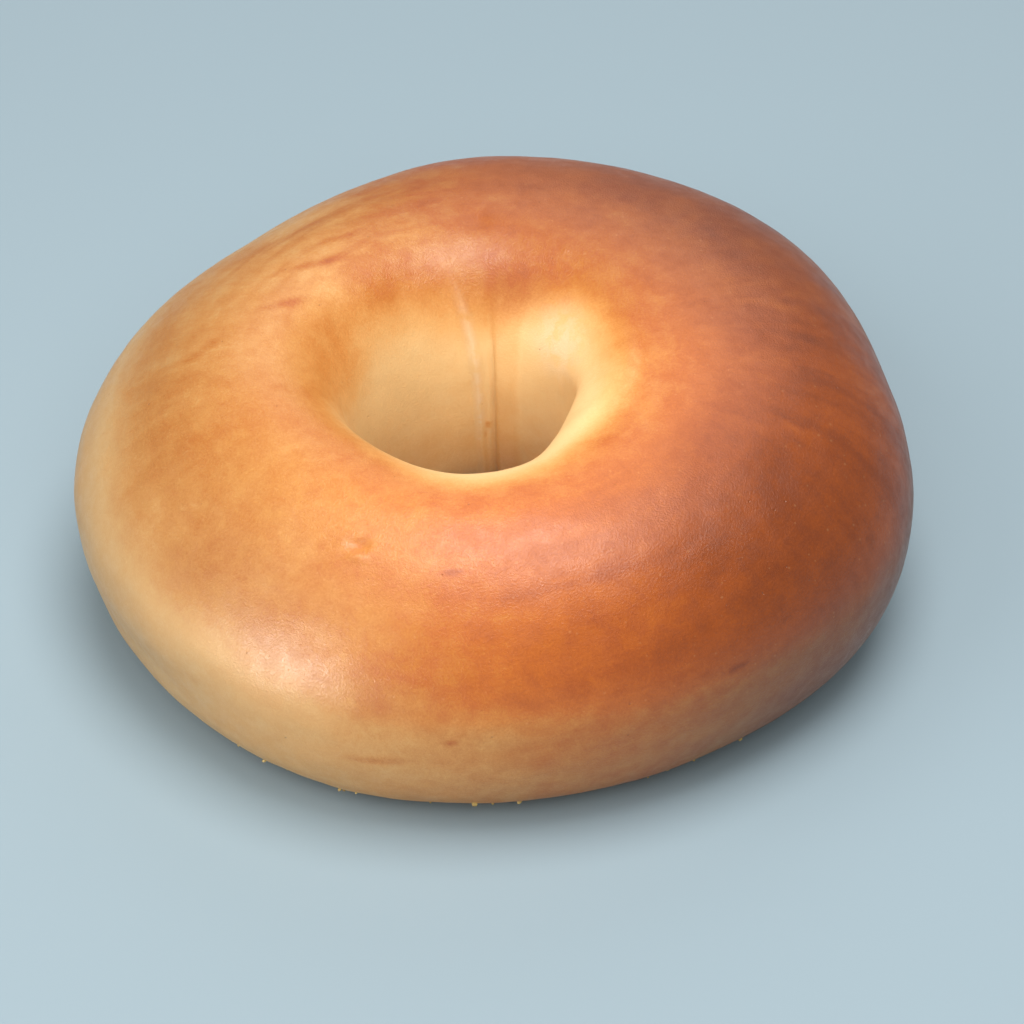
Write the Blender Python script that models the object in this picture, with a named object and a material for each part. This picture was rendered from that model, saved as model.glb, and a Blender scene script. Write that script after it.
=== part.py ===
"""A plain round bagel, baked in one piece: a plump ring of dough with a smooth
domed top, a narrow off-centre hole and a flat underside from the baking board.

Run with: blender --background --python part.py
Metres, +Z up. The origin is under the middle of the bagel, on the surface it rests
on, and the front of the bagel faces -Y."""

import math

import bpy

MM = 0.001
FULL_TURN = 2 * math.pi
QUARTER_TURN = math.pi / 2

# Driving dimensions, in millimetres. A list goes round the ring anticlockwise, seen
# from above, in even steps that start at the right (+X).
OUTLINE_RADII = [57.2, 57.1, 59.4, 59.1, 58.5, 55.9, 53.6, 56.0,
                 59.5, 60.0, 59.0, 57.9, 55.8, 55.5, 56.7, 58.8]
CREST_HEIGHT = 43.0
WIDEST_HEIGHT = 21.2

# The hole is a funnel. Its throat is high up on the right and low everywhere else.
HOLE_CENTRE = (-3.5, -4.2)
THROAT_RADII = [15.4, 14.6, 14.1, 14.7, 15.5, 13.9, 14.7, 14.0]
THROAT_HEIGHTS = [39.5, 29.5, 15.0, 11.5, 15.0, 19.5, 22.0, 33.0]

# Places across the dough, as shares of the way from the throat (0) to the outline (1).
CREST_SHARES = [0.37, 0.37, 0.38, 0.39, 0.38, 0.38, 0.40, 0.36]
BASE_INNER_SHARE = 0.16
BASE_OUTER_SHARE = 0.64

# How square each quarter of the section is: 2 is an ellipse and more is boxier. The
# outer slope is a full ellipse on the right, and more of a cone at the front.
OUTER_TOPS = [1.98, 1.94, 1.84, 1.72]
INNER_TOP, INNER_FOOT, OUTER_FOOT = 2.27, 2.2, 2.23

# The seam where the two ends of the dough were pressed together: a shallow groove
# down the back wall of the hole.
SEAM_ANGLE = math.radians(86)
SEAM_HALF_WIDTH = math.radians(7)
SEAM_DEPTH = 0.9

# Steps round the ring, and round the section. The underside takes one section step
# on either side of straight down.
RING_STEPS = 90
SECTION_STEPS = 32
FOOT_TURN = QUARTER_TURN - FULL_TURN / SECTION_STEPS

CRUST_COLOUR = (0.62, 0.27, 0.07, 1.0)
CRUST_ROUGHNESS = 0.42


def clear_scene():
    for thing in list(bpy.data.objects):
        bpy.data.objects.remove(thing, do_unlink=True)


def around(values, angle):
    """A smooth curve round the ring that passes through evenly spaced values."""
    count = len(values)
    total = sum(values) / count
    for wave in range(1, count // 2 + 1):
        share = 1 / count if 2 * wave == count else 2 / count
        for step, value in enumerate(values):
            total += share * value * math.cos(wave * (angle - FULL_TURN * step / count))
    return total


def quarter(turn, squareness):
    """The two sides of a superellipse's first quarter: (1, 0) with no turn, and
    (0, 1) after a quarter turn."""
    along = max(math.cos(turn), 0.0) ** (2 / squareness)
    across = max(math.sin(turn), 0.0) ** (2 / squareness)
    return along, across


def section_point(ring_angle, tube_angle):
    """(share of the way from throat to outline, height) of a point of the section.
    The tube angle is 0 at the outline, a quarter turn at the crest, half a turn at
    the throat and three quarters of a turn in the middle of the underside."""
    crest_share = around(CREST_SHARES, ring_angle)
    throat_height = around(THROAT_HEIGHTS, ring_angle)
    base_inner_angle = math.pi + FOOT_TURN
    base_outer_angle = FULL_TURN - FOOT_TURN
    if tube_angle <= QUARTER_TURN:
        along, up = quarter(tube_angle, around(OUTER_TOPS, ring_angle))
        share = crest_share + (1 - crest_share) * along
        return share, WIDEST_HEIGHT + (CREST_HEIGHT - WIDEST_HEIGHT) * up
    if tube_angle <= math.pi:
        up, along = quarter(tube_angle - QUARTER_TURN, INNER_TOP)
        share = crest_share * (1 - along)
        return share, throat_height + (CREST_HEIGHT - throat_height) * up
    if tube_angle <= base_inner_angle:
        turn = (tube_angle - math.pi) / FOOT_TURN * QUARTER_TURN
        along, fall = quarter(turn, INNER_FOOT)
        return BASE_INNER_SHARE * (1 - along), throat_height * (1 - fall)
    if tube_angle < base_outer_angle:
        way = (tube_angle - base_inner_angle) / (base_outer_angle - base_inner_angle)
        return BASE_INNER_SHARE + (BASE_OUTER_SHARE - BASE_INNER_SHARE) * way, 0.0
    turn = (tube_angle - base_outer_angle) / FOOT_TURN * QUARTER_TURN
    fall, along = quarter(turn, OUTER_FOOT)
    return BASE_OUTER_SHARE + (1 - BASE_OUTER_SHARE) * along, WIDEST_HEIGHT * (1 - fall)


def seam_depth(ring_angle, tube_angle):
    """How far the seam is pressed in: it fades out at the crest and at the foot."""
    across = (ring_angle - SEAM_ANGLE) / SEAM_HALF_WIDTH
    fade = max(math.sin(tube_angle - QUARTER_TURN), 0.0) ** 2
    return SEAM_DEPTH * math.exp(-across ** 2) * fade


def bagel_point(ring_angle, tube_angle):
    """A point of the crust, in metres."""
    outward = (math.cos(ring_angle), math.sin(ring_angle))
    outline = around(OUTLINE_RADII, ring_angle)
    throat = around(THROAT_RADII, ring_angle)
    share, height = section_point(ring_angle, tube_angle)
    share += seam_depth(ring_angle, tube_angle) / (outline - throat)
    x, y = (
        (1 - share) * (middle + throat * out) + share * outline * out
        for middle, out in zip(HOLE_CENTRE, outward)
    )
    return x * MM, y * MM, height * MM


def crust_material():
    material = bpy.data.materials.new("crust")
    material.use_nodes = True
    shader = material.node_tree.nodes["Principled BSDF"]
    shader.inputs["Base Color"].default_value = CRUST_COLOUR
    shader.inputs["Roughness"].default_value = CRUST_ROUGHNESS
    shader.inputs["Metallic"].default_value = 0.0
    return material


def make_bagel():
    """A torus whose points are each moved to their place on the crust."""
    major, minor = 1.0, 0.5
    bpy.ops.mesh.primitive_torus_add(
        major_segments=RING_STEPS, minor_segments=SECTION_STEPS,
        major_radius=major, minor_radius=minor)
    bagel = bpy.context.object
    bagel.name = "bagel"
    for vertex in bagel.data.vertices:
        x, y, z = vertex.co
        ring_angle = math.atan2(y, x) % FULL_TURN
        tube_turn = math.atan2(z, math.hypot(x, y) - major) / FULL_TURN
        tube_step = round(tube_turn * SECTION_STEPS) % SECTION_STEPS
        vertex.co = bagel_point(ring_angle, tube_step * FULL_TURN / SECTION_STEPS)
    bagel.data.shade_smooth()
    bagel.data.materials.append(crust_material())
    return bagel


def centre_over_origin(bagel):
    """Moves the mesh so that its box is centred over the origin."""
    for axis in range(2):
        places = [vertex.co[axis] for vertex in bagel.data.vertices]
        middle = (min(places) + max(places)) / 2
        for vertex in bagel.data.vertices:
            vertex.co[axis] -= middle


clear_scene()
centre_over_origin(make_bagel())
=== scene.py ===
import math
import random

import bpy
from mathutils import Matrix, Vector, noise


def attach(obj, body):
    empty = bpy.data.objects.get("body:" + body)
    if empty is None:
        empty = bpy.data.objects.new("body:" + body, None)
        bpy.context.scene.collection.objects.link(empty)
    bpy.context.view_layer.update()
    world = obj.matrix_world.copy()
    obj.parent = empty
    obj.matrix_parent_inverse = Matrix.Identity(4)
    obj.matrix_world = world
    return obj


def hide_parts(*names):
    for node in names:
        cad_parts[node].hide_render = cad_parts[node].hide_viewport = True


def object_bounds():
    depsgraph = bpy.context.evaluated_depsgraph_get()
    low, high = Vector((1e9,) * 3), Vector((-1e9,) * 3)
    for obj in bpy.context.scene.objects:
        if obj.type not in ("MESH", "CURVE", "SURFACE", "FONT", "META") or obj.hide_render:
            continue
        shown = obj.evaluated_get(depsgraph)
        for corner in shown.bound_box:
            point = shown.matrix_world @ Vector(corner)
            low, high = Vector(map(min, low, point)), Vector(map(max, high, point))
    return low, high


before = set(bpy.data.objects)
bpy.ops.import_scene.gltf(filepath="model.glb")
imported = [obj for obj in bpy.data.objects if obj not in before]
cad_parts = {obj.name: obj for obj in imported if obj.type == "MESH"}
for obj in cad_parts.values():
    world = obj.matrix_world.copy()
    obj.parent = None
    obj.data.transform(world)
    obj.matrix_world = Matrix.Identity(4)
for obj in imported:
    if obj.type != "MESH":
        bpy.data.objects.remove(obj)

cadLow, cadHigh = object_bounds()
print("frame loaded")

# the hole of the bagel: everything round it is placed by its compass angle from here,
# with 0 at the right, 90 at the back, 180 at the left and -90 at the front
hole = {
    "middle": Vector((-0.0024, -0.0055, 0.0)),
    "wallTilt": 90.0,       # its wall lies between these tilts of the skin
    "footTilt": 240.0,
}


def pickOnly(thing):
    # this object selected and active, and nothing else
    bpy.ops.object.select_all(action="DESELECT")
    thing.select_set(True)
    bpy.context.view_layer.objects.active = thing


def applyModifier(thing, kind, **settings):
    pickOnly(thing)
    modifier = thing.modifiers.new(kind.lower(), kind)
    for name, value in settings.items():
        setattr(modifier, name, value)
    bpy.ops.object.modifier_apply(modifier=modifier.name)


def cloudTexture(name, size):
    texture = bpy.data.textures.new(name, "CLOUDS")
    texture.noise_scale = size
    return texture


def smoothStep(low, high, value):
    share = min(max((value - low) / (high - low), 0.0), 1.0)
    return share * share * (3.0 - 2.0 * share)


def hump(distance, halfWidth):
    # 1 in the middle, falling smoothly to 0 at the half width
    return 1.0 - smoothStep(0.0, halfWidth, abs(distance))


def turnBetween(angle, other):
    # signed difference of two angles in degrees
    return (angle - other + 180.0) % 360.0 - 180.0


def roundBagel(values, compass):
    # a smooth closed curve through values given at equal steps from compass 0
    place = (compass % 360.0) / 360.0 * len(values)
    step = int(place)
    share = place - step
    before, here, after, beyond = (values[(step + k) % len(values)] for k in (-1, 0, 1, 2))
    rise = (after - before) / 2
    nextRise = (beyond - here) / 2
    return (here * (1 - share) ** 2 * (1 + 2 * share) + after * share ** 2 * (3 - 2 * share)
            + rise * share * (1 - share) ** 2 - nextRise * share ** 2 * (1 - share))


def placeOf(point, normal):
    # compass angle, distance from the hole's middle, and how the skin tilts in a cut through
    # the dough: 0 faces outwards, 90 up, 180 into the hole, -90 down
    out = Vector((point.x - hole["middle"].x, point.y - hole["middle"].y, 0.0))
    distance = out.length
    out.normalize()
    tilt = math.degrees(math.atan2(normal.z, normal.dot(out)))
    return math.degrees(math.atan2(out.y, out.x)), distance, tilt


def facesHole(tilt, start=hole["wallTilt"]):
    # whether the skin has turned past the start, and not yet past the foot of the hole's wall
    return start < tilt % 360.0 < hole["footTilt"]


crustShape = {
    "ringSteps": 256,
    "tubeSteps": 256,
    "ringRadius": 0.0365,   # middle of the dough, from the middle of the bagel
    "tubeRadius": 0.0215,
    "guideLevels": 2,
    "mergeWithin": 0.00001,
    "smoothing": 30,        # how many times, and how much each time
    "smoothFactor": 0.5,
    "lumpSize": 0.022,      # broad unevenness of hand-shaped dough
    "lumpDepth": 0.0006,
    "dimpleSize": 0.005,    # the skin's finer unevenness
    "dimpleDepth": 0.00018,
}


def makeGuide():
    # a smooth copy of the CAD bagel, only to wrap the crust round
    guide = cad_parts["bagel"].copy()
    guide.data = guide.data.copy()
    guide.name = "guide"
    guide.parent = None
    bpy.context.scene.collection.objects.link(guide)
    pickOnly(guide)
    bpy.ops.object.mode_set(mode="EDIT")
    bpy.ops.mesh.select_all(action="SELECT")
    bpy.ops.mesh.remove_doubles(threshold=crustShape["mergeWithin"])
    bpy.ops.mesh.tris_convert_to_quads()
    bpy.ops.object.mode_set(mode="OBJECT")
    applyModifier(guide, "SUBSURF", levels=crustShape["guideLevels"],
                  render_levels=crustShape["guideLevels"])
    return guide


def wrapCrust():
    # a fine ring of dough, drawn onto the guide and smoothed; it starts halfway between the
    # middles of the bagel and of the hole
    guide = makeGuide()
    bpy.ops.object.select_all(action="DESELECT")
    bpy.ops.mesh.primitive_torus_add(
        major_segments=crustShape["ringSteps"], minor_segments=crustShape["tubeSteps"],
        major_radius=crustShape["ringRadius"], minor_radius=crustShape["tubeRadius"],
        location=(hole["middle"].x / 2, hole["middle"].y / 2, (cadHigh.z - cadLow.z) / 2))
    wrapped = bpy.context.object
    wrapped.name = "bagelCrust"
    wrapped.data.name = "bagelCrust"
    bpy.ops.object.transform_apply(location=True, rotation=True, scale=True)
    applyModifier(wrapped, "SHRINKWRAP", target=guide, wrap_method="NEAREST_SURFACEPOINT")
    applyModifier(wrapped, "SMOOTH", factor=crustShape["smoothFactor"],
                  iterations=crustShape["smoothing"])
    bpy.data.objects.remove(guide, do_unlink=True)
    return wrapped


crust = wrapCrust()
places = [placeOf(vertex.co, vertex.normal) for vertex in crust.data.vertices]
print("crust wrapped", len(places), "points")

# the seam down the far wall of the hole, where the ends of the dough rope were joined;
# compass angles and half widths in degrees, the rest in metres
seam = {
    "creaseTop": 88.0,          # Top is at the lip, Foot at the bottom of the wall
    "creaseFoot": 80.0,
    "creaseDepth": 0.00065,
    "creaseWidth": 2.2,
    "tabEdgeTop": 70.0,         # the lapped end of the rope lies between the crease and this
    "tabEdgeFoot": 66.0,
    "tabEdgeSoftness": 3.5,
    "tabStart": -3.5,           # its other edge, from the crease
    "tabFull": -0.5,
    "tabHeight": 0.00040,
    # the ridge's paleness is a painted highlight, painted with the flour
    "ridgeTop": 101.0,          # a pale ridge that leans in to meet the crease
    "ridgeFoot": 86.0,
    "ridgeHeight": 0.00045,
    "ridgeWidth": 3.8,
    "lipTilt": 116.0,           # down the wall the seam grows from nothing to full
    "wallTilt": 152.0,
    "fadeTilt": 200.0,          # and fades out again under the narrowest place
    "goneTilt": 235.0,
    "footTilt": 195.0,          # where its slanting lines reach their Foot angle
    "creaseStart": 138.0,       # the crease itself only opens lower down
    "creaseFull": 172.0,
    "closedFrom": 100.0,        # above that it is smoothed over
    "closedTo": 148.0,
    "closedCompass": 83.0,
    "closedReach": 9.0,
    "closedStrength": 1.5,
    "closedLeast": 0.01,
    "closedSmoothing": 14,
}
# small dents and pimples: compass, distance from the hole, reach and height
skinMarks = [
    (-113.0, 0.0383, 0.0012, -0.00075),
    (-112.0, 0.0398, 0.0010, 0.00050),
    (-73.0, 0.0465, 0.0006, 0.00020),
    (84.0, 0.0245, 0.0008, 0.00018),
    (62.0, 0.0272, 0.0009, 0.00015),
    (90.0, 0.0300, 0.0030, -0.00030),   # a shallow dip in the lip above the seam
]
# the lip at the right of the hole leans in over it
lean = {
    "compass": -8.0,
    "spread": 50.0,
    "from": 108.0,          # the tilts where it starts, is full, starts to fade and is gone
    "full": 150.0,
    "fade": 190.0,
    "to": 245.0,
    "depth": 0.0021,
}
# the low left side is drawn in a little above its foot
waist = {
    "compass": -150.0,
    "spread": 26.0,
    "height": 0.013,
    "reach": 0.007,
    "steepest": 80.0,       # not where the skin is steeper than this, up or down
    "depth": 0.0007,
}


def downTheWall(line, tilt):
    # the compass angle of one of the seam's slanting lines, at this tilt of the wall
    top, foot = seam[line + "Top"], seam[line + "Foot"]
    return top + (foot - top) * smoothStep(seam["lipTilt"], seam["footTilt"], tilt % 360.0)


def pushAt(point, place):
    # how far the seam, the lean, the marks and the waist move one point of the skin outwards
    compass, distance, tilt = place
    push = 0.0
    if facesHole(tilt):
        fall = tilt % 360.0
        depth = smoothStep(seam["lipTilt"], seam["wallTilt"], fall)
        depth *= 1.0 - smoothStep(seam["fadeTilt"], seam["goneTilt"], fall)
        opening = smoothStep(seam["creaseStart"], seam["creaseFull"], fall)
        crease = turnBetween(compass, downTheWall("crease", tilt))
        push -= seam["creaseDepth"] * depth * opening * hump(crease, seam["creaseWidth"])
        edge = turnBetween(compass, downTheWall("tabEdge", tilt))
        onTab = smoothStep(-seam["tabEdgeSoftness"], seam["tabEdgeSoftness"], edge)
        onTab *= 1.0 - smoothStep(seam["tabStart"], seam["tabFull"], crease)
        push += seam["tabHeight"] * depth * opening * onTab
        ridge = turnBetween(compass, downTheWall("ridge", tilt))
        push += seam["ridgeHeight"] * depth * hump(ridge, seam["ridgeWidth"])
        push += (lean["depth"] * hump(turnBetween(compass, lean["compass"]), lean["spread"])
                 * smoothStep(lean["from"], lean["full"], fall)
                 * (1.0 - smoothStep(lean["fade"], lean["to"], fall)))
    for markCompass, markDistance, reach, height in skinMarks:
        if tilt > 0 and abs(distance - markDistance) < reach * 2:
            aside = math.radians(turnBetween(compass, markCompass)) * markDistance
            push += height * hump(math.hypot(aside, distance - markDistance), reach)
    if abs(tilt) < waist["steepest"]:
        push -= (waist["depth"] * hump(turnBetween(compass, waist["compass"]), waist["spread"])
                 * hump(point.z - waist["height"], waist["reach"]))
    return push


def closeCreaseAtLip():
    # the top of the crease is smoothed over, so that it starts below the lip
    closed = crust.vertex_groups.new(name="closedCrease")
    for vertex, (compass, distance, tilt) in zip(crust.data.vertices, places):
        fall = tilt % 360.0
        if seam["closedFrom"] < fall < seam["creaseFull"]:
            share = 1.0 - smoothStep(seam["closedTo"], seam["creaseFull"], fall)
            share *= hump(turnBetween(compass, seam["closedCompass"]), seam["closedReach"])
            if share > seam["closedLeast"]:
                closed.add([vertex.index], min(share * seam["closedStrength"], 1.0), "REPLACE")
    applyModifier(crust, "SMOOTH", vertex_group="closedCrease",
                  factor=crustShape["smoothFactor"], iterations=seam["closedSmoothing"])
    crust.vertex_groups.clear()


moves = [vertex.normal * pushAt(vertex.co, place)
         for vertex, place in zip(crust.data.vertices, places)]
for vertex, move in zip(crust.data.vertices, moves):
    vertex.co += move
closeCreaseAtLip()
print("seam and dents made")

# how far each part of the skin is baked: 0 is the palest dough, 1 the darkest brown;
# each list runs round the bagel by the compass, from the right over the back
bakeZones = {
    "inner": [0.50, 0.50, 0.52, 0.54, 0.52, 0.44, 0.38, 0.37,
              0.38, 0.40, 0.42, 0.48, 0.57, 0.56, 0.52, 0.49],
    "top": [0.85, 0.77, 0.74, 0.72, 0.66, 0.46, 0.32, 0.29,
            0.32, 0.37, 0.37, 0.43, 0.58, 0.75, 0.90, 0.95],
    "side": [0.75, 0.68, 0.60, 0.46, 0.32, 0.20, 0.12, 0.10,
             0.10, 0.12, 0.15, 0.22, 0.38, 0.52, 0.54, 0.62],
    # the tilt of the skin where the pale side begins
    "sideTilt": [18, 24, 30, 34, 40, 47, 53, 54, 47, 37, 23, 15, 12, 14, 16, 12],
    "sideSoftness": [16, 18, 20, 20, 20, 20, 20, 18, 16, 16, 16, 14, 13, 13, 14, 16],
    "throat": 0.0,           # inside the hole, past this tilt and nearer than this reach
    "throatTilt": 60.0,
    "throatReach": [0.0201, 0.0199, 0.0198, 0.0193, 0.0192, 0.0193, 0.0193, 0.0190,
                    0.0192, 0.0202, 0.0220, 0.0243, 0.0262, 0.0254, 0.0231, 0.0209],
    "throatSoftness": 0.0036,
    "depthTilt": 120.0,      # down its wall the dough is baked more golden and darker towards the bottom, between these heights: painted shade deep in the hole
    "depthFrom": 0.027,
    "depthTo": 0.008,
    "depthShadeBake": 0.15,
    "tabBake": 0.07,         # on the lapped end at the seam, from its edge to the crease
    "tabSoftness": 2.0,
    "tabFade": (-2.0, 1.0),
    "outerReach": 0.047,     # the inner bake level gives way to the top one up to here
    "base": 0.42,            # the underside, by how squarely the skin faces down
    "baseFacing": (0.6, 0.97),
    "wander": 0.7,           # how far these edges stray, as a share of their softness
    "wanderSize": 0.015,
}
# how much darker the skin is than its bake level alone would make it: partly a darker crust,
# partly painted shade, strongest on the right, back and left and least at the front, and inside
# the hole painted shade in its depth
tanAndShadeZones = {
    "inner": [0.04, 0.12, 0.20, 0.24, 0.25, 0.20, 0.16, 0.12,
              0.10, 0.10, 0.08, 0.03, 0.00, 0.00, 0.00, 0.01],
    "top": [0.34, 0.43, 0.49, 0.43, 0.37, 0.37, 0.40, 0.44,
            0.45, 0.38, 0.27, 0.14, 0.09, 0.12, 0.30, 0.33],
    "side": [0.57, 0.54, 0.46, 0.38, 0.34, 0.34, 0.36, 0.38,
             0.36, 0.28, 0.12, 0.01, 0.01, 0.16, 0.50, 0.60],
    # inside the hole: painted shade in its depth, most on the back and left walls
    "throat": [0.00, 0.00, 0.03, 0.06, 0.08, 0.11, 0.13, 0.13,
               0.12, 0.08, 0.03, 0.00, 0.00, 0.00, 0.00, 0.00],
}
# dusty flour on the underside, and pale painted highlights down the seam's ridge and on the right
# wall of the hole
flourAndHighlightShares = {
    "ridge": 0.30,
    "ridgeTilts": (132.0, 162.0),
    "wall": 0.40,
    "wallMiddle": Vector((0.0085, 0.0055, 0.0360)),
    "wallReach": 0.0080,
    "base": 0.35,
    "baseFacing": (0.7, 0.97),
}
# stretch marks in the skin: how strong they are across the ring and along it
streakZones = {
    "across": [1.40, 1.30, 1.00, 0.60, 0.30, 0.20, 0.40, 0.80,
               1.00, 0.70, 0.30, 0.10, 0.05, 0.10, 0.30, 0.90],
    "along": [0.20, 0.30, 0.50, 0.60, 0.90, 1.50, 1.60, 1.00,
              0.35, 0.25, 0.25, 0.35, 0.55, 0.65, 0.60, 0.35],
}
# stains and bare scratches, and last painted shade in the pit at the foot of the seam's crease,
# all in millimetres:
# place, direction, half length, half width, and how much darker or paler they are baked
stainsAndShade = [
    ((28.6, -49.0, 25.2), (0.9, 0.45, -0.25), 1.6, 0.5, 0.40),
    ((32.4, -47.0, 24.2), (0.8, 0.55, 0.10), 2.6, 0.8, 0.34),
    ((-5.0, -45.0, 39.4), (1.0, 0.0, 0.10), 2.4, 0.6, 0.32),
    ((-33.0, -40.7, 34.5), (0.7, -0.5, -0.5), 1.8, 0.7, 0.14),
    ((-40.3, -43.1, 18.0), (0.6, -0.6, -0.5), 1.6, 0.9, 0.14),
    ((-5.6, -57.1, 20.0), (1.0, 0.0, 0.1), 1.8, 0.8, 0.22),
    ((13.0, -56.0, 12.0), (1.0, 0.2, 0.0), 3.0, 0.7, 0.14),
    ((24.0, -51.0, 11.0), (0.8, 0.4, 0.3), 1.6, 0.8, 0.20),
    ((-15.0, -55.5, 15.5), (1.0, -0.2, 0.1), 7.0, 1.2, 0.20),
    ((4.0, -47.2, 37.4), (1.0, 0.35, 0.10), 9.0, 2.2, 0.09),
    ((17.0, -43.0, 38.9), (0.9, 0.45, 0.10), 8.0, 2.2, 0.08),
    ((39.8, 7.7, 41.0), (1.0, 0.05, -0.2), 9.0, 1.5, -0.20),
    ((39.1, -5.0, 41.7), (1.0, 0.0, -0.15), 8.0, 1.4, -0.13),
    ((41.2, -17.7, 40.0), (1.0, -0.05, -0.2), 7.0, 1.3, -0.18),
    ((42.3, 1.9, 40.4), (1.0, 0.0, -0.2), 8.0, 1.6, 0.10),
    ((41.6, -11.2, 40.7), (1.0, 0.0, -0.2), 8.0, 1.6, 0.10),
    ((-24.1, 15.0, 42.9), (0.93, 0.36, 0.0), 8.5, 1.4, 0.27),
    ((-27.6, 6.6, 42.7), (0.90, 0.42, 0.0), 8.0, 1.3, 0.24),
    ((-40.0, -3.5, 41.8), (0.80, 0.60, 0.1), 5.5, 1.3, 0.20),
    ((-21.5, 20.9, 42.8), (0.92, 0.38, 0.0), 5.5, 1.1, 0.22),
    ((31.0, 23.0, 41.5), (0.7, -0.7, 0.0), 6.0, 2.2, 0.12),
    ((21.0, 36.0, 40.3), (0.9, -0.4, 0.0), 5.0, 1.8, 0.12),
    ((5.5, 33.0, 42.3), (1.0, -0.1, 0.0), 3.5, 1.6, 0.10),
    ((9.0, -45.4, 38.4), (1.0, 0.25, 0.0), 3.0, 0.35, -0.16),
    ((-36.0, -17.4, 41.6), (1.0, 0.05, 0.25), 6.0, 0.45, -0.10),
    ((-39.5, -29.6, 37.2), (0.85, -0.2, 0.45), 5.5, 0.40, -0.10),
    ((-41.0, -21.0, 39.6), (0.2, 0.95, 0.2), 6.0, 0.45, -0.08),
    ((-27.0, -24.0, 42.5), (0.6, 0.8, 0.0), 4.0, 0.40, -0.07),
    ((1.2, 14.0, 36.0), (0.1, -0.5, -0.85), 1.8, 0.5, -0.30),
    # painted shade in the pit and down the line at the foot of the seam's crease
    ((-0.8, 9.5, 17.7), (1.0, 0.0, 0.0), 0.8, 0.65, 0.40),
    ((-1.3, 9.5, 16.0), (0.0, 0.0, 1.0), 0.9, 0.5, 0.28),
]


def stainAndShadeAt(point):
    change = 0.0
    for middle, direction, length, width, strength in stainsAndShade:
        away = point * 1000.0 - Vector(middle)
        if away.length < length + width:
            along = away.dot(Vector(direction).normalized())
            across = math.sqrt(max(away.length_squared - along * along, 0.0))
            change += strength * hump(math.hypot(along / length, across / width), 1.0)
    return change


def skinAt(point, place):
    # bake level, tan with painted shade, the two streak strengths, and flour with painted
    # highlights at one point of the skin
    compass, distance, tilt = place
    facingDown = -math.sin(math.radians(tilt))
    wander = noise.noise(point / bakeZones["wanderSize"]) * bakeZones["wander"]
    edge = roundBagel(bakeZones["sideTilt"], compass)
    soft = roundBagel(bakeZones["sideSoftness"], compass)
    onTop = smoothStep(edge - soft, edge + soft, tilt + wander * soft)
    if tilt < -90.0:
        onTop = 0.0
    reach = roundBagel(bakeZones["throatReach"], compass)
    outwards = smoothStep(reach, bakeZones["outerReach"], distance)
    levels = [roundBagel(bakeZones[zone], compass) for zone in ("side", "inner", "top")]
    tanAndShadeLevels = [roundBagel(tanAndShadeZones[zone], compass) for zone in ("side", "inner", "top")]
    level, tanAndShade = (side + (inner + (top - inner) * outwards - side) * onTop
                  for side, inner, top in (levels, tanAndShadeLevels))
    level += (bakeZones["base"] - level) * smoothStep(*bakeZones["baseFacing"], facingDown)

    outside = 1.0
    if facesHole(tilt, bakeZones["throatTilt"]):
        soft = bakeZones["throatSoftness"]
        outside = smoothStep(reach - soft, reach + soft, distance + wander * soft)
        level = bakeZones["throat"] + (level - bakeZones["throat"]) * outside
        # deeper in the hole its own painted shade takes over
        throatTanAndShade = roundBagel(tanAndShadeZones["throat"], compass)
        tanAndShade = throatTanAndShade + (tanAndShade - throatTanAndShade) * outside
    if facesHole(tilt, bakeZones["depthTilt"]):
        # painted shade: the colour baked darker towards the bottom of the hole
        down = 1.0 - smoothStep(bakeZones["depthTo"], bakeZones["depthFrom"], point.z)
        level += bakeZones["depthShadeBake"] * down
        crease = turnBetween(compass, downTheWall("crease", tilt))
        edge = turnBetween(compass, downTheWall("tabEdge", tilt))
        onTab = smoothStep(-bakeZones["tabSoftness"], bakeZones["tabSoftness"], edge)
        onTab *= 1.0 - smoothStep(*bakeZones["tabFade"], crease)
        level += bakeZones["tabBake"] * onTab

    across = roundBagel(streakZones["across"], compass) * onTop * outwards
    along = roundBagel(streakZones["along"], compass) * outside
    if tilt > hole["wallTilt"]:
        # a pale painted highlight down the seam's ridge, and another on the right wall of the hole
        depth = smoothStep(*flourAndHighlightShares["ridgeTilts"], tilt)
        ridge = turnBetween(compass, downTheWall("ridge", tilt))
        flourAndHighlight = flourAndHighlightShares["ridge"] * depth * hump(ridge, seam["ridgeWidth"])
        fromPatch = (point - flourAndHighlightShares["wallMiddle"]).length
        flourAndHighlight += flourAndHighlightShares["wall"] * hump(fromPatch, flourAndHighlightShares["wallReach"])
    else:
        # real flour on the underside
        flourAndHighlight = flourAndHighlightShares["base"] * smoothStep(*flourAndHighlightShares["baseFacing"], facingDown)
    return level + stainAndShadeAt(point), tanAndShade, across, along, flourAndHighlight


def paint(thing, name, values):
    layer = thing.data.attributes.new(name, "FLOAT", "POINT")
    layer.data.foreach_set("value", values)


skin = [skinAt(vertex.co, place) for vertex, place in zip(crust.data.vertices, places)]
for name, values in zip(("bake", "tanAndShade", "streaksAcross", "streaksAlong", "flourAndHighlight"), zip(*skin)):
    paint(crust, name, values)
print("crust browned")

applyModifier(crust, "DISPLACE", texture=cloudTexture("doughLumps", crustShape["lumpSize"]),
              strength=crustShape["lumpDepth"], mid_level=0.5, texture_coords="LOCAL")
applyModifier(crust, "DISPLACE", texture=cloudTexture("skinDimples", crustShape["dimpleSize"]),
              strength=crustShape["dimpleDepth"], mid_level=0.5, texture_coords="LOCAL")
for vertex in crust.data.vertices:
    vertex.co.z = max(vertex.co.z, cadLow.z)
crust.data.shade_smooth()

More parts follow.
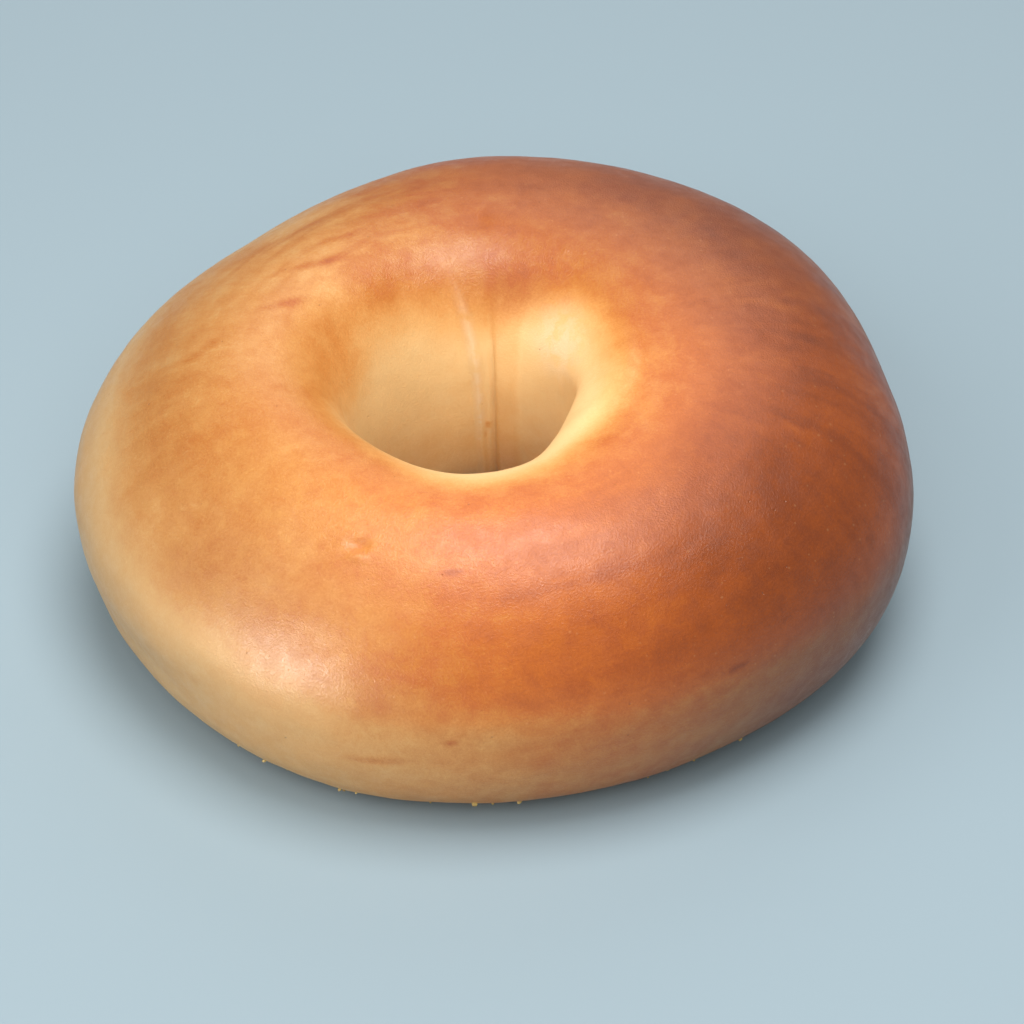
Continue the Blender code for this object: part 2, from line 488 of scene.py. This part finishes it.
# a few crumbs of cornmeal that cling to the foot of the bagel
cornmealGrains = {
    "count": 140,
    "size": (0.00022, 0.00052),   # half lengths
    "lowest": 0.0007,             # the heights and the tilts of skin they cling to
    "highest": 0.0048,
    "tilts": (-80.0, -20.0),
    "lift": 0.10,                 # of a half length, from the skin out to a grain's middle
    "kinds": 4,
    "width": 0.62,                # of its length for the first kind, and a step more for each next
    "widthStep": 0.08,
    "thickness": 0.55,
    "thicknessStep": 0.06,
    "jaggedness": 0.16,
    "kindSeed": 3,
    "seed": 12,
}


def makeGrainKind(number):
    # one crushed grain, a unit in half length
    bpy.ops.object.select_all(action="DESELECT")
    bpy.ops.mesh.primitive_ico_sphere_add(subdivisions=1, radius=1.0)
    grain = bpy.context.object
    grain.name = "grainKind%d" % number
    bpy.ops.object.mode_set(mode="EDIT")
    bpy.ops.mesh.select_all(action="SELECT")
    width = cornmealGrains["width"] + cornmealGrains["widthStep"] * number
    thickness = cornmealGrains["thickness"] + cornmealGrains["thicknessStep"] * number
    bpy.ops.transform.resize(value=(1.0, width, thickness))
    bpy.ops.transform.vertex_random(offset=cornmealGrains["jaggedness"],
                                    seed=number + cornmealGrains["kindSeed"])
    bpy.ops.object.mode_set(mode="OBJECT")
    return grain


def scatterCornmeal():
    chance = random.Random(cornmealGrains["seed"])
    kinds = [makeGrainKind(number) for number in range(cornmealGrains["kinds"])]
    lowTilt, highTilt = cornmealGrains["tilts"]
    foot = [vertex for vertex, (compass, distance, tilt) in zip(crust.data.vertices, places)
            if cornmealGrains["lowest"] < vertex.co.z < cornmealGrains["highest"]
            and lowTilt < tilt < highTilt]
    grains = []
    for number in range(cornmealGrains["count"]):
        kind = kinds[number % len(kinds)]
        spot = chance.choice(foot)
        size = chance.uniform(*cornmealGrains["size"])
        grain = kind.copy()
        grain.data = kind.data.copy()
        bpy.context.scene.collection.objects.link(grain)
        grain.location = spot.co + spot.normal * size * cornmealGrains["lift"]
        grain.rotation_euler = [chance.uniform(0.0, math.tau) for axis in range(3)]
        grain.scale = (size, size, size)
        grains.append(grain)
    for kind in kinds:
        bpy.data.objects.remove(kind, do_unlink=True)
    pickOnly(grains[0])
    for grain in grains:
        grain.select_set(True)
    bpy.ops.object.join()
    dust = bpy.context.object
    dust.name = "cornmealDust"
    dust.data.name = "cornmealDust"
    bpy.ops.object.transform_apply(location=True, rotation=True, scale=True)
    for vertex in dust.data.vertices:
        vertex.co.z = max(vertex.co.z, cadLow.z)
    return dust


cornmeal = scatterCornmeal()
print("cornmeal scattered", len(cornmeal.data.polygons), "faces")


def addNode(tree, kind, label, values=None, **settings):
    node = tree.nodes.new(kind)
    node.name = label
    node.label = label
    for name, value in settings.items():
        setattr(node, name, value)
    for name, value in (values or {}).items():
        node.inputs[name].default_value = value
    return node


def addLayer(tree, label, name):
    # the values painted on the points under this name
    return addNode(tree, "ShaderNodeAttribute", label, attribute_name=name).outputs["Fac"]


def makeMaterial(name):
    material = bpy.data.materials.new(name)
    material.use_nodes = True
    return material, material.node_tree, material.node_tree.nodes["Principled BSDF"]


def makeGroup(name, numbers, results):
    # a node group with number inputs, each with its starting value
    group = bpy.data.node_groups.new(name, "ShaderNodeTree")
    group.interface.new_socket("Vector", in_out="INPUT", socket_type="NodeSocketVector")
    for label, value in numbers.items():
        socket = group.interface.new_socket(label, in_out="INPUT", socket_type="NodeSocketFloat")
        socket.default_value = value
    for label in results:
        group.interface.new_socket(label, in_out="OUTPUT", socket_type="NodeSocketFloat")
    return group, group.nodes.new("NodeGroupInput"), group.nodes.new("NodeGroupOutput")


def addMath(tree, label, operation, first, second=None, third=None, clamp=False):
    # each operand is a socket to link or a plain number
    node = addNode(tree, "ShaderNodeMath", label, operation=operation, use_clamp=clamp)
    for socket, operand in zip(node.inputs, (first, second, third)):
        if isinstance(operand, bpy.types.NodeSocket):
            tree.links.new(operand, socket)
        elif operand is not None:
            socket.default_value = operand
    return node.outputs["Value"]


def addNoise(tree, label, vector, scale, detail=2.0, roughness=0.5, distortion=0.0):
    node = addNode(tree, "ShaderNodeTexNoise", label, {
        "Scale": scale, "Detail": detail, "Roughness": roughness, "Distortion": distortion})
    tree.links.new(vector, node.inputs["Vector"])
    return node.outputs["Fac"]


def addRange(tree, label, value, fromLow, fromHigh, toLow=0.0, toHigh=1.0):
    node = addNode(tree, "ShaderNodeMapRange", label, {
        "From Min": fromLow, "From Max": fromHigh, "To Min": toLow, "To Max": toHigh},
        interpolation_type="SMOOTHSTEP")
    tree.links.new(value, node.inputs["Value"])
    return node.outputs["Result"]


def addMix(tree, label, factor, first, second):
    node = addNode(tree, "ShaderNodeMix", label, data_type="RGBA")
    for name, operand in (("Factor_Float", factor), ("A_Color", first), ("B_Color", second)):
        socket = next(each for each in node.inputs if each.identifier == name)
        if isinstance(operand, bpy.types.NodeSocket):
            tree.links.new(operand, socket)
        else:
            socket.default_value = operand
    return next(each for each in node.outputs if each.identifier == "Result_Color")


fleckShape = {
    "perMetre": 700.0,
    "share": 0.3,           # of the cells, that have a spot
    "size": 0.3,
    "smallest": 0.5,        # the spots' own sizes, as shares of the one given
    "spread": 0.6,
    "softFrom": 0.35,       # of the way out to a spot's edge
}


def makeFlecksGroup():
    # small round spots, one in some of the cells of a loose grid
    group, given, result = makeGroup("flecks", {
        "Per Metre": fleckShape["perMetre"], "Share": fleckShape["share"],
        "Size": fleckShape["size"]}, ["Mask"])
    cells = addNode(group, "ShaderNodeTexVoronoi", "cells", {"Randomness": 1.0})
    group.links.new(given.outputs["Vector"], cells.inputs["Vector"])
    group.links.new(given.outputs["Per Metre"], cells.inputs["Scale"])
    luck = addNode(group, "ShaderNodeSeparateColor", "luck of each cell")
    group.links.new(cells.outputs["Color"], luck.inputs["Color"])
    chosen = addMath(group, "chosen", "LESS_THAN", luck.outputs["Red"], given.outputs["Share"])
    sized = addMath(group, "own size", "MULTIPLY_ADD", luck.outputs["Green"],
                    fleckShape["spread"], fleckShape["smallest"])
    reach = addMath(group, "spot edge", "MULTIPLY", sized, given.outputs["Size"])
    near = addMath(group, "share of the way out", "DIVIDE", cells.outputs["Distance"], reach)
    spot = addRange(group, "soft spot", near, fleckShape["softFrom"], 1.0, 1.0, 0.0)
    mask = addMath(group, "chosen spots", "MULTIPLY", spot, chosen)
    group.links.new(mask, result.inputs["Mask"])
    return group


def addFlecks(tree, label, vector, perMetre, share, size):
    node = addNode(tree, "ShaderNodeGroup", label, node_tree=flecksGroup)
    tree.links.new(vector, node.inputs["Vector"])
    node.inputs["Per Metre"].default_value = perMetre
    node.inputs["Share"].default_value = share
    node.inputs["Size"].default_value = size
    return node.outputs["Mask"]


flecksGroup = makeFlecksGroup()

# crust colours from pale dough to dark brown, each with the bake level it stands for
crustColours = [
    (0.00, (0.90, 0.60, 0.27)),
    (0.15, (0.83, 0.45, 0.155)),
    (0.30, (0.74, 0.32, 0.080)),
    (0.45, (0.63, 0.215, 0.036)),
    (0.60, (0.55, 0.136, 0.016)),
    (0.80, (0.41, 0.085, 0.009)),
    (1.00, (0.28, 0.055, 0.007)),
]
crustFinish = {
    "specular": 0.7,
    "roughness": (0.32, 0.43),
    "paleRoughness": 0.10,     # pale dough is duller by this much, up to this bake level
    "paleUpTo": 0.4,
    "paleVariation": 0.35,     # and only this much as varied, up to this one
    "variedFrom": 0.5,
    # black, towards which the tan and painted shade darken the crust
    "tanShade": (0.0, 0.0, 0.0, 1.0),
    "streakBake": 0.06,
    "blotchSize": 0.008,
    "blotchBake": 0.14,
    "mottleSize": 0.0022,
    "mottleBake": 0.13,
    "grainSize": 0.00034,      # the pebbly skin
    "grainBake": 0.15,
    "grainHeight": 0.000065,
    "fineSize": 0.00015,
    "fineHeight": 0.000024,
    "paleFlecks": (1100.0, 0.16, 0.28),   # per metre, share of the cells, size
    "paleFleckCover": 0.08,
    "palestColour": (0.93, 0.60, 0.28, 1.0),
    # the patchiness and colour of the flour on the underside and of the painted highlights in the
    # hole
    "flourAndHighlightPatches": (0.35, 0.60),
    "flourAndHighlightColour": (0.86, 0.74, 0.56, 1.0),
    "pores": (620.0, 0.13, 0.13),
    "poreCover": 0.32,
    "poreDepth": 0.8,          # as a share of the grain height
    "poreColour": (0.20, 0.06, 0.015, 1.0),
}
# how fast the stretch marks change with the bearing, the reach from the hole and the height
streakPattern = {"across": (11.0, 45.0, 20.0), "along": (2.6, 330.0, -260.0)}
# nearly all values of a noise lie between these
noiseLow, noiseHigh = 0.3, 0.7

crustMaterial, tree, shader = makeMaterial("bakedCrust")
link = tree.links.new
coords = addNode(tree, "ShaderNodeTexCoord", "object place").outputs["Object"]
bakeLevel = addLayer(tree, "bake level", "bake")
# tan and painted shade, as painted on the points
tanAndShadeLevel = addLayer(tree, "tan level", "tanAndShade")

blotches = addNoise(tree, "blotches", coords, 1 / crustFinish["blotchSize"],
                    detail=3.0, roughness=0.55, distortion=0.6)
mottle = addNoise(tree, "mottle", coords, 1 / crustFinish["mottleSize"],
                  detail=4.0, roughness=0.6, distortion=0.3)
grain = addNoise(tree, "pebbly grain", coords, 1 / crustFinish["grainSize"],
                 detail=3.0, roughness=0.7)
fine = addNoise(tree, "fine grain", coords, 1 / crustFinish["fineSize"], detail=1.0)

shift = addMath(tree, "blotch shift", "MULTIPLY_ADD", blotches,
                2 * crustFinish["blotchBake"], -crustFinish["blotchBake"])
shift = addMath(tree, "mottle shift", "MULTIPLY_ADD", mottle, 2 * crustFinish["mottleBake"], shift)
shift = addMath(tree, "grain shift", "MULTIPLY_ADD", grain, 2 * crustFinish["grainBake"], shift)
shift = addMath(tree, "centred shift", "SUBTRACT", shift,
                crustFinish["mottleBake"] + crustFinish["grainBake"])

# stretch marks: one noise that changes most round the hole, one mostly across the ring
fromHole = addNode(tree, "ShaderNodeVectorMath", "from the hole", operation="SUBTRACT")
link(coords, fromHole.inputs[0])
fromHole.inputs[1].default_value = hole["middle"]
flat = addNode(tree, "ShaderNodeVectorMath", "flat", operation="MULTIPLY")
link(fromHole.outputs["Vector"], flat.inputs[0])
flat.inputs[1].default_value = (1.0, 1.0, 0.0)
bearing = addNode(tree, "ShaderNodeVectorMath", "bearing", operation="NORMALIZE")
link(flat.outputs["Vector"], bearing.inputs[0])
reach = addNode(tree, "ShaderNodeVectorMath", "reach", operation="LENGTH")
link(flat.outputs["Vector"], reach.inputs[0])
height = addNode(tree, "ShaderNodeSeparateXYZ", "height")
link(coords, height.inputs["Vector"])


def streakPlace(label, turns, reachScale, heightScale):
    # a vector that turns with the bearing and stretches with reach and height
    turned = addNode(tree, "ShaderNodeVectorMath", label + " bearing", operation="SCALE")
    link(bearing.outputs["Vector"], turned.inputs[0])
    turned.inputs["Scale"].default_value = turns
    rise = addMath(tree, label + " rise", "MULTIPLY", height.outputs["Z"], heightScale)
    rise = addMath(tree, label + " place", "MULTIPLY_ADD",
                   reach.outputs["Value"], reachScale, rise)
    lift = addNode(tree, "ShaderNodeCombineXYZ", label + " lift")
    link(rise, lift.inputs["Z"])
    total = addNode(tree, "ShaderNodeVectorMath", label + " vector", operation="ADD")
    link(turned.outputs["Vector"], total.inputs[0])
    link(lift.outputs["Vector"], total.inputs[1])
    return total.outputs["Vector"]


acrossNoise = addNoise(tree, "streaks across", streakPlace("across", *streakPattern["across"]),
                       1.0, detail=3.0, roughness=0.6, distortion=0.3)
alongNoise = addNoise(tree, "streaks along", streakPlace("along", *streakPattern["along"]),
                      1.0, detail=3.0, roughness=0.55, distortion=0.5)
for label, streaks in (("Across", acrossNoise), ("Along", alongNoise)):
    power = addLayer(tree, "streaks " + label.lower() + " power", "streaks" + label)
    centred = addRange(tree, "streaks " + label.lower() + " centred", streaks,
                       noiseLow, noiseHigh, -crustFinish["streakBake"], crustFinish["streakBake"])
    shift = addMath(tree, "with streaks " + label.lower(), "MULTIPLY_ADD", centred, power, shift)
strength = addRange(tree, "less on pale dough", bakeLevel,
                    0.0, crustFinish["variedFrom"], crustFinish["paleVariation"], 1.0)
level = addMath(tree, "varied bake", "MULTIPLY_ADD", shift, strength, bakeLevel, clamp=True)

ramp = addNode(tree, "ShaderNodeValToRGB", "crust colours")
stops = ramp.color_ramp.elements
while len(stops) < len(crustColours):
    stops.new(0.5)
for stop, (position, colour) in zip(stops, crustColours):
    stop.position = position
    stop.color = (*colour, 1.0)
link(level, ramp.inputs["Fac"])
# darkened towards black by the tan and painted shade
colour = addMix(tree, "tannedAndShaded", tanAndShadeLevel, ramp.outputs["Color"], crustFinish["tanShade"])

paleFlecks = addFlecks(tree, "pale flecks", coords, *crustFinish["paleFlecks"])
faint = addMath(tree, "faint", "MULTIPLY", paleFlecks, crustFinish["paleFleckCover"])
colour = addMix(tree, "with pale flecks", faint, colour, crustFinish["palestColour"])
# flour on the underside, and pale painted highlights down the seam and on the hole's right wall
flourAndHighlightLevel = addLayer(tree, "flour level", "flourAndHighlight")
patchy = addRange(tree, "patchy flour", mottle, *crustFinish["flourAndHighlightPatches"])
flourAndHighlightCover = addMath(tree, "flour cover", "MULTIPLY", flourAndHighlightLevel, patchy)
colour = addMix(tree, "with flour", flourAndHighlightCover, colour, crustFinish["flourAndHighlightColour"])
pores = addFlecks(tree, "pores", coords, *crustFinish["pores"])
dim = addMath(tree, "dim", "MULTIPLY", pores, crustFinish["poreCover"])
colour = addMix(tree, "with pores", dim, colour, crustFinish["poreColour"])
link(colour, shader.inputs["Base Color"])

low, high = crustFinish["roughness"]
dull = addRange(tree, "dull or shiny", mottle, noiseLow, noiseHigh, low, high)
paleDull = addRange(tree, "pale is duller", bakeLevel, 0.0, crustFinish["paleUpTo"],
                    crustFinish["paleRoughness"], 0.0)
link(addMath(tree, "gloss", "ADD", dull, paleDull), shader.inputs["Roughness"])
shader.inputs["Specular IOR Level"].default_value = crustFinish["specular"]

bump = addNode(tree, "ShaderNodeBump", "pebbly skin", {
    "Strength": 1.0, "Distance": crustFinish["grainHeight"]})
relief = addMath(tree, "grain relief", "MULTIPLY_ADD", fine,
                 crustFinish["fineHeight"] / crustFinish["grainHeight"], grain)
relief = addMath(tree, "pore relief", "MULTIPLY_ADD", pores, -crustFinish["poreDepth"], relief)
link(relief, bump.inputs["Height"])
link(bump.outputs["Normal"], shader.inputs["Normal"])
crust.data.materials.append(crustMaterial)
print("crust coloured")

cornmealFinish = {
    "colour": (0.72, 0.50, 0.16, 1.0),
    "darkColour": (0.50, 0.30, 0.07, 1.0),
    "toneRange": (0.35, 0.65),
    "branColour": (0.20, 0.06, 0.015, 1.0),
    "bran": (2600.0, 0.30, 0.30),
    "branCover": 0.5,
    "roughness": 0.62,
    "grainSize": 0.0009,
}
cornmealMaterial, tree, shader = makeMaterial("crushedCorn")
coords = addNode(tree, "ShaderNodeTexCoord", "object place").outputs["Object"]
tone = addNoise(tree, "grain tone", coords, 1 / cornmealFinish["grainSize"], detail=1.0)
tone = addRange(tree, "tone of each grain", tone, *cornmealFinish["toneRange"])
colour = addMix(tree, "light and dark grains", tone, cornmealFinish["colour"],
                cornmealFinish["darkColour"])
bran = addFlecks(tree, "bran specks", coords, *cornmealFinish["bran"])
faint = addMath(tree, "faint bran", "MULTIPLY", bran, cornmealFinish["branCover"])
colour = addMix(tree, "with bran", faint, colour, cornmealFinish["branColour"])
tree.links.new(colour, shader.inputs["Base Color"])
shader.inputs["Roughness"].default_value = cornmealFinish["roughness"]
cornmeal.data.materials.append(cornmealMaterial)
print("cornmeal coloured")

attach(crust, "root")
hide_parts("bagel")
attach(cornmeal, "root")

stageLook = {
    "floorSize": 6.0,
    "floorColour": (0.283, 0.363, 0.408, 1),
    "floorRoughness": 0.9,
    "roomColour": (0.78, 0.85, 0.88, 1),
    "roomStrength": 0.25,
    "lampAim": Vector((0, 0, 0.02)),
}
# round soft lamps: gloss says whether the crust's shine shows them, fill whether they light it
lamps = {
    "overhead": {"from": (0.06, -0.07, 0.70), "size": 0.40, "watts": 3.7,
                 "gloss": True, "fill": True, "colour": (1.0, 0.985, 0.97)},
    "back": {"from": (0.12, 0.70, 0.62), "size": 0.7, "watts": 1.6,
             "gloss": True, "fill": True, "colour": (1.0, 0.985, 0.98)},
    "left": {"from": (-0.50, -0.26, 0.46), "size": 0.6, "watts": 2.3,
             "gloss": False, "fill": True, "colour": (1.0, 0.985, 0.97)},
    "front": {"from": (0.04, -0.50, 0.72), "size": 0.7, "watts": 4.0,
              "gloss": False, "fill": True, "colour": (1.0, 0.99, 0.97)},
    "glint": {"from": (-0.255, -0.258, 0.043), "size": 0.082, "watts": 0.92,
              "gloss": True, "fill": False, "colour": (1.0, 0.965, 0.90)},
}
cameraPlace = {
    "aim": Vector((0.0026, -0.0013, 0.0105)),
    "elevation": math.radians(42),
    "distance": 0.575,
    "lens": 142.35,
    "clipStart": 0.01,
}

bpy.ops.object.select_all(action="DESELECT")
bpy.ops.mesh.primitive_plane_add(size=stageLook["floorSize"])
floor = bpy.context.object
floor.name = "floor"
floorMaterial, tree, shader = makeMaterial("paleFloor")
shader.inputs["Base Color"].default_value = stageLook["floorColour"]
shader.inputs["Roughness"].default_value = stageLook["floorRoughness"]
floor.data.materials.append(floorMaterial)

room = bpy.data.worlds.new("room")
bpy.context.scene.world = room
room.use_nodes = True
background = room.node_tree.nodes["Background"]
background.inputs["Color"].default_value = stageLook["roomColour"]
background.inputs["Strength"].default_value = stageLook["roomStrength"]

for name, lamp in lamps.items():
    light = bpy.data.lights.new(name, "AREA")
    light.shape = "DISK"
    light.size = lamp["size"]
    light.energy = lamp["watts"]
    light.color = lamp["colour"]
    holder = bpy.data.objects.new(name, light)
    bpy.context.scene.collection.objects.link(holder)
    holder.location = lamp["from"]
    toBagel = stageLook["lampAim"] - holder.location
    holder.rotation_euler = toBagel.to_track_quat("-Z", "Y").to_euler()
    holder.visible_glossy = lamp["gloss"]
    holder.visible_diffuse = lamp["fill"]
    holder.visible_camera = False

cameraData = bpy.data.cameras.new("camera")
cameraData.lens = cameraPlace["lens"]
cameraData.clip_start = cameraPlace["clipStart"]
camera = bpy.data.objects.new("camera", cameraData)
bpy.context.scene.collection.objects.link(camera)
away = Vector((0, -math.cos(cameraPlace["elevation"]), math.sin(cameraPlace["elevation"])))
camera.location = cameraPlace["aim"] + away * cameraPlace["distance"]
camera.rotation_euler = (math.pi / 2 - cameraPlace["elevation"], 0, 0)
bpy.context.scene.camera = camera
bpy.context.scene.view_settings.view_transform = "Standard"
print("stage set")
